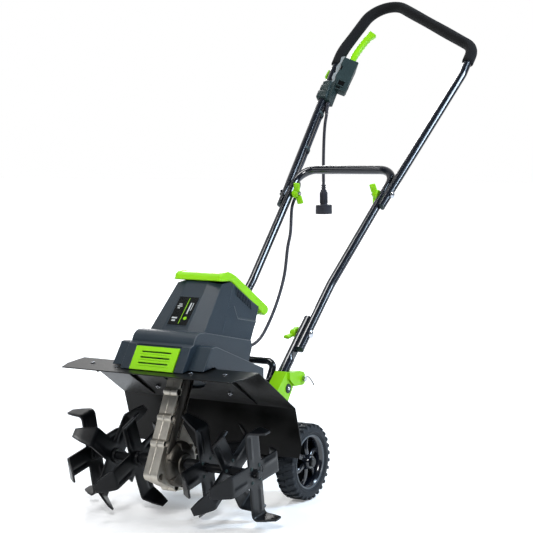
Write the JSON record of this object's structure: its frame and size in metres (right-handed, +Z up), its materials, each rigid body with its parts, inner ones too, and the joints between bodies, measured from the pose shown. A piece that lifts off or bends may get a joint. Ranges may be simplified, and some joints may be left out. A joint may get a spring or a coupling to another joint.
{
  "type": "garden tiller",
  "caption": "Corded electric garden tiller: motor housing over a steel deck, bladed tines on a worm-driven shaft, two swing-down wheels and a folding tubular handle with foam grip.",
  "frame": {"origin": "middle of the bounding box on the ground, with the wheels down", "axes": "+X is the operator's right, +Y points back towards the handle, +Z is up"},
  "size_m": [0.4474, 1.2339, 1.0326],
  "materials": {
    "lime_plastic": "satin moulded lime green",
    "housing_plastic": "fine-grained dark blue grey moulding",
    "black_plastic": "fine-grained black moulding",
    "deck_paint": "gloss black powder coat",
    "tube_paint": "gloss black powder coat",
    "tine_paint": "satin black paint on pressed steel",
    "cast_aluminium": "as-cast",
    "zinc_steel": "zinc plated",
    "bronze": "machined bronze",
    "copper": "enamelled copper windings",
    "foam": "matte black foam",
    "cable_rubber": "matte black cable sheath",
    "tyre_rubber": "dark grey moulded tyre",
    "badge": "dark blank badge"
  },
  "bodies": {
    "chassis": {"deck_guard": "deck_paint", "housing_front_cover": "housing_plastic", "housing_rear_cover": "housing_plastic", "housing_base": "housing_plastic", "housing_top_cap": "lime_plastic", "front_vent_grille": "lime_plastic", "badge_plate": "badge", "gearcase_left": "cast_aluminium", "gearcase_right": "cast_aluminium", "shaft_bushing_left": "bronze", "shaft_bushing_right": "bronze", "motor_mount_plate": "cast_aluminium", "motor_stator": "zinc_steel", "frame_plate_left": "tube_paint", "frame_plate_right": "tube_paint", "lower_tube_left": "tube_paint", "lower_tube_right": "tube_paint", "handle_bracket_left": "lime_plastic", "handle_bracket_right": "lime_plastic", "cable_gland": "cable_rubber", "motor_cable_bottom": "cable_rubber"},
    "tine_shaft": {"tine_shaft": "zinc_steel", "worm_wheel": "bronze", "tine_outer_left": "tine_paint", "tine_outer_right": "tine_paint", "tine_middle_left": "tine_paint", "tine_middle_right": "tine_paint", "tine_inner_left": "tine_paint", "tine_inner_right": "tine_paint"},
    "armature": {"motor_shaft": "zinc_steel", "armature_core": "copper", "cooling_fan": "black_plastic"},
    "wheel_frame": {"wheel_frame": "tube_paint", "wheel_axle": "zinc_steel"},
    "wheel_left": {"tyre_left": "tyre_rubber", "rim_left": "housing_plastic"},
    "wheel_right": {"tyre_right": "tyre_rubber", "rim_right": "housing_plastic"},
    "lock_pin": {"lock_pin": "zinc_steel"},
    "middle_handle": {"middle_handle": "tube_paint", "lower_bolt_left": "zinc_steel", "lower_bolt_right": "zinc_steel", "upper_bolt_left": "zinc_steel", "upper_bolt_right": "zinc_steel", "motor_cable_middle": "cable_rubber"},
    "lower_knob_left": {"lower_knob_left": "lime_plastic"},
    "lower_knob_right": {"lower_knob_right": "lime_plastic"},
    "upper_knob_left": {"upper_knob_left": "lime_plastic"},
    "upper_knob_right": {"upper_knob_right": "lime_plastic"},
    "upper_handle": {"upper_handle": "tube_paint", "foam_grip": "foam", "switch_housing": "black_plastic", "switch_cover": "black_plastic", "switch_clamp": "zinc_steel", "cord_relief": "cable_rubber", "supply_lead": "cable_rubber", "plug": "cable_rubber", "motor_cable_top": "cable_rubber"},
    "start_lever": {"start_lever": "lime_plastic"},
    "lock_button": {"lock_button": "lime_plastic"}
  },
  "joints": [
    {"name": "tine_spin", "type": "hinge", "parent": "chassis", "child": "tine_shaft", "pos_m": [0, -0.513, 0.1046], "axis": [1, 0, 0], "continuous": true},
    {"name": "armature_spin", "type": "hinge", "parent": "chassis", "child": "armature", "pos_m": [0, -0.54698, 0.12161], "axis": [0, 0.4478, 0.8942], "continuous": true},
    {"name": "wheel_height", "type": "hinge", "parent": "chassis", "child": "wheel_frame", "pos_m": [0, -0.261, 0.214], "axis": [1, 0, 0], "range_deg": [0, 75]},
    {"name": "wheel_left_spin", "type": "hinge", "parent": "wheel_frame", "child": "wheel_left", "pos_m": [-0.143, -0.2734, 0.0753], "axis": [1, 0, 0], "continuous": true},
    {"name": "wheel_right_spin", "type": "hinge", "parent": "wheel_frame", "child": "wheel_right", "pos_m": [0.143, -0.2734, 0.0753], "axis": [1, 0, 0], "continuous": true},
    {"name": "lock_pin_pull", "type": "slide", "parent": "chassis", "child": "lock_pin", "axis": [1, 0, 0], "range_m": [0, 0.01], "stiffness_N_per_m": 400, "springref_m": -0.004},
    {"name": "lower_fold", "type": "hinge", "parent": "chassis", "child": "middle_handle", "pos_m": [0, -0.17405, 0.3116], "axis": [1, 0, 0], "range_deg": [0, 128], "deforming": ["motor_cable_bottom"]},
    {"name": "upper_fold", "type": "hinge", "parent": "middle_handle", "child": "upper_handle", "pos_m": [0, 0.11958, 0.57879], "axis": [1, 0, 0], "range_deg": [-150, 0], "deforming": ["motor_cable_top", "motor_cable_middle"]},
    {"name": "lower_knob_left_turn", "type": "hinge", "parent": "middle_handle", "child": "lower_knob_left", "pos_m": [0, -0.17405, 0.3116], "axis": [1, 0, 0], "continuous": true},
    {"name": "lower_knob_right_turn", "type": "hinge", "parent": "middle_handle", "child": "lower_knob_right", "pos_m": [0, -0.17405, 0.3116], "axis": [1, 0, 0], "continuous": true},
    {"name": "upper_knob_left_turn", "type": "hinge", "parent": "middle_handle", "child": "upper_knob_left", "pos_m": [0, 0.11958, 0.57879], "axis": [1, 0, 0], "continuous": true},
    {"name": "upper_knob_right_turn", "type": "hinge", "parent": "middle_handle", "child": "upper_knob_right", "pos_m": [0, 0.11958, 0.57879], "axis": [1, 0, 0], "continuous": true},
    {"name": "start_lever_squeeze", "type": "hinge", "parent": "upper_handle", "child": "start_lever", "pos_m": [-0.15239, 0.47017, 0.87124], "axis": [0.5445, -0.5451, 0.6375], "range_deg": [0, 4], "stiffness_Nm_per_rad": 3, "springref_deg": -2.86},
    {"name": "lock_button_press", "type": "slide", "parent": "upper_handle", "child": "lock_button", "axis": [-0.8374, -0.3963, 0.3763], "range_m": [0, 0.003], "stiffness_N_per_m": 500, "springref_m": -0.002}
  ],
  "couplings": [
    {"joint": "armature_spin", "follows": "tine_spin", "ratio": 30}
  ]
}
